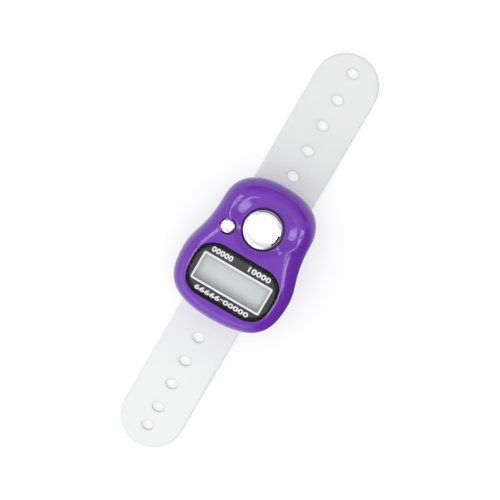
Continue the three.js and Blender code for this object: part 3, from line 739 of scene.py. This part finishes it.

# Lens: a clear plate let into the top shell and taped to its ledge. Its face is polished, and its rounded
# edge mirrors little for nearly 1 mm in. This paints a dark outline that stands in for the shade in the
# gap round the lens.
lens_low_z = 12.09
lens_top_z = 12.95
lens_round = 0.35
shaded_rim = 0.85
shaded_rim_fade = 0.15
shaded_rim_gloss = 0.12
lens_clear, n = new_material("clear_lens")
haze = n.noise(n.place(), scale=900.0, detail=3.0)
see = n.add("ShaderNodeBsdfTransparent", inputs={"Color": (0.97, 0.97, 0.97, 1)})
polish = {"Color": plain_white, "Roughness": n.ramp(haze, 0.3, 0.7, 0.02, 0.06)}
edge = n.add("ShaderNodeAttribute", out=2, attribute_name="edge")
# Painted shade: the edge mirrors only a small share of what the face does, so it reads as a dark outline
share = n.times(n.front_gloss(1.6), n.mix(edge, 1.0, shaded_rim_gloss))
n.surface(n.blend(share, see, n.add("ShaderNodeBsdfGlossy", inputs=polish)))

lens = Skin()
rings = [at(lens_loop(0), lens_low_z)]
for t in arc(0, 90, 8):
    rings.append(at(lens_loop(lens_round * (np.cos(t) - 1)), lens_top_z - lens_round * (1 - np.sin(t))))
rings += [at(lens_loop(-inner), lens_top_z) for inner in (shaded_rim, shaded_rim + shaded_rim_fade)]
lens.strips(rings)
lens.cap([lens_loop(-shaded_rim - shaded_rim_fade)], lens_top_z)
lens.cap([lens_loop(0)], lens_low_z, up=False)


def lens_edge(x, y, z):
    """1 at the lens's edge, where painted shade cuts its gloss, and 0 on its polished face."""
    return distance_to(np.column_stack([x, y]), lens_loop(0)) < shaded_rim + shaded_rim_fade / 2


lens = lens.put("lens_plate", lens_clear, values=("edge", lens_edge))
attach(lens, "case")
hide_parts("display_lens")

# Print on the back of the lens: a black border with a clear window
print_low_z = 12.052
print_top_z = 12.068
border_out = 0.1
clear_width = 17.9
clear_height = 6.5
clear_corner = 0.4
clear_y = 7.49
black, n = new_material("black_print")
speck = n.noise(n.place(), scale=5000.0)
n.solid(n.tint(speck, (0.006, 0.006, 0.007), (0.010, 0.010, 0.011)), 0.5, Specular_IOR_Level=0.1)


def printed(skin, outer, inner, low_z, top_z):
    """A thin flat band of print between two loops."""
    skin.strips([at(outer, low_z), at(outer, top_z), at(inner, top_z), at(inner, low_z)], closed=True)


border = Skin()
clear_loop = rounded(clear_width, clear_height, clear_corner, clear_y)
printed(border, lens_loop(border_out), clear_loop, print_low_z, print_top_z)
border = border.put("lens_print", black)
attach(border, "case")

# White print over the black: a frame line round the window, and plain numbers, which are the
# range of the display above it, one more under its left end and nought under its right end
white_low_z = 12.069
white_top_z = 12.078
frame_width = 18.7
frame_height = 7.3
frame_line = 0.5
frame_corners = (0.5, 0.3)
# Each mark: its numerals, the x and y of its middle, its width and its height
marks = [
    ("00000-99999", 0.0, 12.33, 14.6, 1.25),
    ("00001", -4.8, 2.5, 6.0, 1.4),
    ("00000", 5.3, 2.5, 5.6, 1.4),
]
white, n = new_material("white_print")
speck = n.noise(n.place(), scale=4000.0)
n.solid(n.tint(speck, (0.84, 0.84, 0.85), (0.92, 0.92, 0.92)), 0.5)


def numerals(skin, words, x, y, width, height):
    """Bold plain numerals from the built-in letters, scaled to a width and a height."""
    letters = bpy.data.curves.new("letters", "FONT")
    letters.body = words
    letters.offset = 0.04
    letters.extrude = 0.1
    letters.resolution_u = 4
    letters.space_character = 1.08
    holder = bpy.data.objects.new("letters", letters)
    bpy.context.scene.collection.objects.link(holder)
    made = bpy.data.meshes.new_from_object(holder.evaluated_get(bpy.context.evaluated_depsgraph_get()))
    points = np.empty(len(made.vertices) * 3)
    made.vertices.foreach_get("co", points)
    points = points.reshape(-1, 3)
    low, high = points.min(0), points.max(0)
    box = np.array([width, height, white_top_z - white_low_z])
    points = (points - low) / (high - low) * box + [x - width / 2, y - height / 2, white_low_z]
    skin.points.append(points)
    skin.faces += [[v + skin.count for v in face.vertices] for face in made.polygons]
    skin.count += len(points)
    bpy.data.objects.remove(holder)


print_skin = Skin()
outer = rounded(frame_width, frame_height, frame_corners[0], clear_y)
inner = rounded(frame_width - 2 * frame_line, frame_height - 2 * frame_line, frame_corners[1], clear_y)
printed(print_skin, outer, inner, white_low_z, white_top_z)
for words, x, y, width, height in marks:
    numerals(print_skin, words, x, y, width, height)
white_marks = print_skin.put("lens_marks", white)
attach(white_marks, "case")

# Buttons: two chrome-plated plastic caps with domed tops and rounded rims. Their sides have painted shade
# low down, where they sit in the gap under the shell. A flange under the shell keeps each one in, and a
# rubber dome pushes it up.
flange_low_z = 10.9
flange_high_z = 11.5
flange_edge = 0.05
rim_slope = (12, 90)
cap_dome = 0.25
gap_shade_z = (12.6, 12.9)
gap_shade_colour = (0.035, 0.030, 0.045)
chrome, n = new_material("chrome_plate")
place = n.place()
smear = n.noise(place, scale=500.0, detail=4.0)
height = n.plus(n.split(place)[2], n.times(smear, 0.0003))
# Painted shade: the chrome goes dark below the top of the shell, in the gap round each cap
unshaded = n.ramp(height, gap_shade_z[0] * mm, gap_shade_z[1] * mm)
tint = n.tint(unshaded, gap_shade_colour, n.tint(smear, (0.90, 0.90, 0.91), (0.95, 0.95, 0.95)))
n.solid(tint, n.ramp(smear, 0.3, 0.75, 0.05, 0.11), Metallic=1.0)


def button(name, x, y, radius, top_radius, flange, top_z, steps):
    """A turned cap: flange, straight side, rim and a top that is a very flat dome. The rim's
    slope grows with the square of the way along it, from its first angle to its last."""
    rim = radius - top_radius
    dome = cap_dome * rim
    first, last = rim_slope
    slope = np.radians(first + (last - first) * np.linspace(0, 1, 25) ** 2)
    way_out, way_down = (np.r_[0, np.cumsum(part(slope))] for part in (np.cos, np.sin))
    scale = rim / way_out[-1]
    profile = [(0, flange_low_z), (flange, flange_low_z), (flange, flange_high_z - flange_edge),
               (flange - flange_edge, flange_high_z), (radius, flange_high_z)]
    profile += zip(top_radius + scale * way_out[::-1], top_z - dome - scale * way_down[::-1])
    profile += [(top_radius * share, top_z - dome * share ** 2) for share in np.linspace(0.94, 0.06, 12)]
    profile.append((0, top_z))
    cap = turned(name + "_cap", x, y, profile, steps, chrome)
    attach(cap, name)
    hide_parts(name)


button("count_button", 0, count_y, radius=4.8, top_radius=3.6, flange=5.6, top_z=13.75,
       steps=count_steps)
button("reset_button", *reset_place, radius=1.7, top_radius=1.1, flange=2.4, top_z=13.5,
       steps=reset_steps)

# Display cell: two thin glasses between a grey polariser in front, which has painted shade along its far
# edge, and a silver reflector behind. White tape bonds the lens in front to the shell.
def finish(name, dark, light, scale, rough, metal=0.0, bump=0.05, stretch=(1, 1, 1), shade=None):
    """A material whose colour and roughness drift between two values on a cloudy pattern, which may be
    drawn out along X, Y or Z. shade paints shade on it, darkening it from one place along Y to another,
    down to a share of its colour."""
    made, n = new_material(name)
    place = n.add("ShaderNodeVectorMath", operation="MULTIPLY", inputs={0: n.place(), 1: stretch})
    cloud = n.noise(place, scale, detail=5.0)
    tint = n.tint(n.ramp(cloud, 0.3, 0.7), dark, light)
    if shade:
        start, end, left = shade
        tint = n.scaled(tint, n.ramp(n.split(n.place())[1], start * mm, end * mm, 1.0, left))
    n.solid(tint, n.ramp(cloud, 0.3, 0.7, rough, rough + 0.12), Metallic=metal,
            Normal=n.bump(cloud, bump, distance=0.0001))
    return made


def dress(material, *names):
    """Gives each of the frame's own pieces one material."""
    for name in names:
        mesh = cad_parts[name].data
        mesh.materials.clear()
        mesh.materials.append(material)


def clear_glass(name, tint, rough):
    """A thin clear pane: it lets light straight through and mirrors a little, with smears."""
    made, n = new_material(name)
    smear = n.noise(n.place(), scale=600.0)
    see = n.add("ShaderNodeBsdfTransparent", inputs={"Color": (*tint, 1)})
    gloss = {"Roughness": n.ramp(smear, 0.3, 0.7, rough, rough + 0.05)}
    n.surface(n.blend(n.front_gloss(1.52), see, n.add("ShaderNodeBsdfGlossy", inputs=gloss)))
    return made


tape = finish("paper_tape", (0.74, 0.73, 0.69), (0.86, 0.85, 0.82), 2500.0, 0.75, bump=0.2)
# The polariser gets painted shade along its far edge, under the lens border
film = finish("polariser_film", (0.62, 0.68, 0.66), (0.655, 0.713, 0.70), 220.0, 0.32, bump=0.02,
              shade=(6.9, 9.3, 0.7))
foil = finish("reflector_foil", (0.62, 0.64, 0.62), (0.74, 0.75, 0.73), 900.0, 0.28, 0.8,
              stretch=(0.08, 1, 1))
dress(tape, "lens_tape")
dress(film, "front_polariser")
dress(foil, "reflector")
dress(clear_glass("display_glass", (0.90, 0.94, 0.92), 0.02), "front_glass", "rear_glass")

# Zebra strip: a bar of pale rubber crossed by thin black conductive layers, squeezed between
# the display glass and the board
zebra, n = new_material("zebra_rubber")
layers = n.waves(n.place(), scale=1600.0, distortion=0.4, bands_direction="X")
n.solid(n.tint(n.ramp(layers, 0.45, 0.55), (0.03, 0.03, 0.03), (0.62, 0.45, 0.44)), 0.7)
dress(zebra, "zebra_strip")

# Circuit board: woven glass laminate under a green mask, with copper tracks showing through it.
# The chip sits under a drop of black resin beside two small soldered parts.
board, n = new_material("board_laminate")
place = n.place()
warp = n.waves(place, scale=500.0, bands_direction="X")
weft = n.waves(place, scale=500.0, bands_direction="Y")
weave = n.times(warp, weft)
tracks = n.add("ShaderNodeTexBrick", out=1, inputs={
    "Vector": place, "Scale": 120.0, "Mortar Size": 0.035, "Brick Width": 0.7, "Row Height": 0.22})
mask = n.tint(weave, (0.020, 0.105, 0.040), (0.030, 0.150, 0.060))
n.solid(n.tint(tracks, mask, (0.075, 0.270, 0.095)), n.ramp(weave, 0.0, 1.0, 0.28, 0.40),
        Normal=n.bump(tracks, strength=0.3, distance=0.00003))
dress(board, "circuit_board")
resin = finish("black_resin", (0.006, 0.006, 0.007), (0.015, 0.015, 0.016), 700.0, 0.18, bump=0.3)
dress(resin, "chip_resin")


def soldered(name, dark, light, half_body):
    """A small chip: a fired body between two tinned ends, which begin at a distance from the
    middle of the row of parts."""
    made, n = new_material(name)
    place = n.place()
    from_middle = n.math("ABSOLUTE", n.plus(n.split(place)[1], -(count_y + case_y) * mm))
    tinned = n.math("GREATER_THAN", from_middle, half_body * mm)
    speck = n.noise(place, scale=6000.0, detail=3.0)
    tint = n.tint(tinned, n.tint(speck, dark, light), (0.66, 0.66, 0.64))
    n.solid(tint, n.ramp(speck, 0.3, 0.7, 0.3, 0.5), Metallic=tinned)
    return made


dress(soldered("fired_ceramic", (0.36, 0.22, 0.12), (0.46, 0.30, 0.18), 0.65), "capacitor")
dress(soldered("resistor_film", (0.012, 0.012, 0.014), (0.030, 0.030, 0.034), 0.5), "resistor")

# Rubber domes: milky silicone bells that stand on the board and spring the buttons up. A thin skirt
# carries a thick crown, and a black conductive pill sits under the crown. The skirt folds as the button
# goes down.
dome_wall = 0.4
dome_low_z = 9.11
dome_top_z = 10.88
pill_seat_z = 10.06
dome_round = 0.15
dome_crown = 0.55
dome_steps = 64
silicone = finish("silicone_rubber", (0.60, 0.59, 0.56), (0.70, 0.69, 0.66), 1800.0, 0.55, bump=0.15)


def rubber_dome(name, press, x, y, radius):
    """A turned bell whose skirt climbs on a half cosine wave, inside and outside, from a rounded
    foot to a rounded crown."""
    crown_radius = dome_crown * radius
    inner_foot = radius - 2 * dome_wall
    inner_crown = crown_radius - dome_wall / 2
    outer_foot = radius - dome_wall / 2
    foot_z = dome_low_z + dome_wall
    shoulder_z = dome_top_z - dome_wall
    share = np.linspace(0, 1, 10)
    wave = (1 - np.cos(pi * share)) / 2
    profile = [(0, pill_seat_z)]
    profile += zip(inner_crown + (inner_foot - inner_crown) * share,
                   pill_seat_z + (dome_low_z - pill_seat_z) * wave)
    profile += [(radius, dome_low_z), (radius, foot_z - dome_round)]
    profile += [(radius - dome_round * (1 - np.cos(t)), foot_z - dome_round * (1 - np.sin(t)))
                for t in arc(15, 90, 5)]
    profile += zip(outer_foot + (crown_radius - outer_foot) * share,
                   foot_z + (shoulder_z - foot_z) * wave)
    profile += [(crown_radius - dome_round * (1 - np.cos(t)), dome_top_z - dome_round * (1 - np.sin(t)))
                for t in arc(0, 90, 5)]
    profile.append((0, dome_top_z))
    bell = turned(name + "_bell", x, y, profile, dome_steps, silicone)
    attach(bell, "case")
    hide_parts(name)
    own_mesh(bell)


rubber_dome("count_dome", "count_press", 0, count_y, radius=4.2)
rubber_dome("reset_dome", "reset_press", *reset_place, radius=2.16)
carbon = finish("carbon_rubber", (0.010, 0.010, 0.010), (0.026, 0.026, 0.026), 4000.0, 0.65, bump=0.3)
dress(carbon, "count_pill", "reset_pill")

# Button cell and contacts: a drawn steel can and cap with a blue nylon seal between them, held
# by two springy strips of plated bronze
ringed, n = new_material("drawn_steel")
place = n.place()
from_cell = {0: place, 1: (0, -(cell_y + case_y) * mm, 0)}
about = n.add("ShaderNodeVectorMath", operation="ADD", inputs=from_cell)
rings = n.waves(about, scale=900.0, distortion=1.5, wave_type="RINGS", rings_direction="Z")
mark = n.noise(place, scale=700.0, detail=5.0)
n.solid(n.tint(mark, (0.50, 0.50, 0.49), (0.68, 0.68, 0.67)), n.ramp(mark, 0.3, 0.7, 0.22, 0.36),
        Metallic=1.0, Normal=n.bump(rings, strength=0.15, distance=0.00002))
dress(ringed, "cell_can", "cell_cap")
nylon = finish("blue_nylon", (0.04, 0.12, 0.30), (0.06, 0.17, 0.38), 1500.0, 0.5, bump=0.1)
bronze = finish("plated_bronze", (0.60, 0.55, 0.42), (0.74, 0.70, 0.58), 1200.0, 0.25, 1.0,
                stretch=(1, 0.05, 1))
dress(nylon, "cell_seal")
dress(bronze, "negative_contact", "positive_contact")

# Screws: nickel-plated steel with a rolled thread, which a fine spiral of ridges stands for,
# four long ones up through the bottom case and four short ones up through the board
threaded, n = new_material("threaded_steel")
place = n.place()
thread = n.waves(place, scale=380.0, bands_direction="Z")
mark = n.noise(place, scale=1500.0, detail=4.0)
n.solid(n.tint(mark, (0.44, 0.44, 0.43), (0.64, 0.63, 0.61)), n.ramp(mark, 0.3, 0.7, 0.25, 0.4),
        Metallic=1.0, Normal=n.bump(thread, strength=0.8, distance=0.00015))
dress(threaded, *(f"{kind}_screw_{i}" for kind in ("case", "board") for i in (1, 2, 3, 4)))

# Strap: one long band of milky soft plastic with round ends and five oval holes on each side.
# It passes over the bars of the two loops and lies down on the table beyond them. Its middle and six
# lengths more meet edge to edge.
strap_half = 8.0
strap_thick = 1.0
strap_end = 54.85
strap_straight = strap_end - strap_half
strap_round = 0.3
hole_half = (1.45, 1.175)
hole_edge = 0.15
strap_rise = 1.55
rise_flat = 11.8
rise_run = 9.0
strap_grid = 0.5
hole_steps = 40
near_holes = [-22.0, -29.05, -36.1, -43.15, -50.45]
far_holes = [24.1, 30.82, 37.54, 44.26, 49.56]
rim_shade_width = 0.5
rim_shade_colour = (0.58, 0.60, 0.58)

# The plastic has painted shade on its near side and at its edges and hole rims, and painted light close
# to the case
milky, n = new_material("milky_plastic")
place = n.place()
cloud = n.noise(place, scale=70.0, detail=4.0)
grain = n.noise(place, scale=3000.0)
rim = n.add("ShaderNodeAttribute", out=2, attribute_name="rim")
tint = n.tint(cloud, (0.800, 0.812, 0.800), (0.835, 0.845, 0.835))
# Painted shade at the strap's edges and hole rims
tint = n.tint(n.times(rim, 0.6), tint, rim_shade_colour)
along = n.split(place)[1]
# Painted light close to the case, and painted shade on the near side
painted_lift = n.ramp(n.math("ABSOLUTE", along), 0.016, 0.030, 1.07, 1.0)
tint = n.scaled(tint, n.times(painted_lift, n.ramp(along, -0.020, 0.020, 0.91, 1.0)))
n.solid(tint, n.ramp(grain, 0.3, 0.7, 0.36, 0.46), IOR=1.45,
        Normal=n.bump(grain, strength=0.05, distance=0.00005))


def strap_under(y):
    """Height of the strap's underside: a half cosine wave down from the loop bars."""
    share = np.clip((np.abs(y - case_y) - rise_flat) / rise_run, 0, 1)
    return strap_rise * (1 + np.cos(pi * share)) / 2


def strap_over(y):
    return strap_under(y) + strap_thick


def narrowed(loop, by):
    """A strap outline drawn in from the long sides and the round ends, but not at its cuts."""
    share = (strap_half - by) / strap_half
    over = np.clip(np.abs(loop[:, 1]) - strap_straight, 0, None) * np.sign(loop[:, 1])
    return np.column_stack([loop[:, 0] * share, loop[:, 1] - over * (1 - share)])


def strap_outline(low, high):
    """Counter-clockwise outline of a length of strap, with a half circle at a free end."""
    across = np.linspace(-strap_half, strap_half, 33)[1:-1]
    turn = np.linspace(0, pi, 65)[1:-1]
    right, beyond = strap_half * np.cos(turn), strap_straight + strap_half * np.sin(turn)
    steps = int((high - low) / strap_grid) + 1
    up = np.linspace(max(low, -strap_straight), min(high, strap_straight), steps)
    bottom = np.column_stack([across, across * 0 + low])
    over = np.column_stack([-across, across * 0 + high])
    if low < -strap_straight:
        bottom = np.column_stack([-right, -beyond])
    if high > strap_straight:
        over = np.column_stack([right, beyond])
    return np.vstack([bottom, np.column_stack([up * 0 + strap_half, up]), over,
                      np.column_stack([up * 0 - strap_half, up[::-1]])])


def oval(y, out):
    """The outline of the hole at y, drawn out by a distance."""
    turn = np.linspace(0, 2 * pi, hole_steps, endpoint=False)
    return np.column_stack([(hole_half[0] + out) * np.cos(turn), y + (hole_half[1] + out) * np.sin(turn)])


def strap_rim_shade(x, y, z):
    """1 at the strap's edge and at the rims of its holes, where painted shade darkens it, falling to 0 a
    short way in.
    """
    width, length = hole_half
    from_edge = strap_half - np.hypot(x, np.clip(np.abs(y) - strap_straight, 0, None))
    for hole in near_holes + far_holes:
        from_edge = np.minimum(from_edge, (np.hypot(x / width, (y - hole) / length) - 1) * length)
    return np.clip(1 - from_edge / rim_shade_width, 0, 1) ** 2


def strap_edge(loop_in, radius, steps, *faces):
    """Rings from one face of the strap over its round edge and over the other face's. loop_in
    draws the outline in by a distance. A face is its height and the way into the plastic."""
    rings = []
    for (face, way), turns in zip(faces, (arc(90, 0, steps), arc(0, 90, steps))):
        for t in turns:
            loop = loop_in(radius * (1 - np.cos(t)))
            rings.append(at(loop, face(loop[:, 1]) + way * radius * (1 - np.sin(t))))
    return rings


def strap_length(name, low, high, node):
    """One length of the strap: its rounded edge, its holes, its top and its underside."""
    below, above = (strap_under, 1), (strap_over, -1)
    plan = strap_outline(low, high)
    holes = [y for y in near_holes + far_holes if low < y < high]
    skin = Skin()
    skin.strips(strap_edge(lambda by: narrowed(plan, by), strap_round, 5, below, above))
    for y in holes:
        skin.strips(strap_edge(lambda by: oval(y, by), hole_edge, 3, above, below))
    loops = [narrowed(plan, strap_round)] + [oval(y, hole_edge) for y in holes]
    skin.cap(loops, lambda x, y: strap_over(y), grid=strap_grid)
    skin.cap(loops, lambda x, y: strap_under(y), up=False, grid=strap_grid)
    piece = skin.put(name, milky, y=0, values=("rim", strap_rim_shade))
    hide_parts(node)
    return piece


middle = strap_length("band_middle", -15.0, 15.0, "strap_middle")
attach(middle, "case")
# Each length: its name, its two ends along Y, the body that holds it, the body and node that
# it is itself, and where its bend starts and ends
lengths = [
    ("band_near_1", -25.5, -15.0, "case", "strap_near_1", -15.7, -21.2),
    ("band_near_2", -39.6, -25.5, "strap_near_1", "strap_near_2", -29.8, -35.4),
    ("band_near_3", -strap_end, -39.6, "strap_near_2", "strap_near_3", -44.0, -49.6),
    ("band_far_1", 15.0, 27.46, "case", "strap_far_1", 18.0, 23.5),
    ("band_far_2", 27.46, 40.9, "strap_far_1", "strap_far_2", 31.4, 37.0),
    ("band_far_3", 40.9, strap_end, "strap_far_2", "strap_far_3", 44.1, 49.7),
]
for name, low, high, held, moved, start, end in lengths:
    piece = strap_length(name, low, high, moved)
    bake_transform(piece)
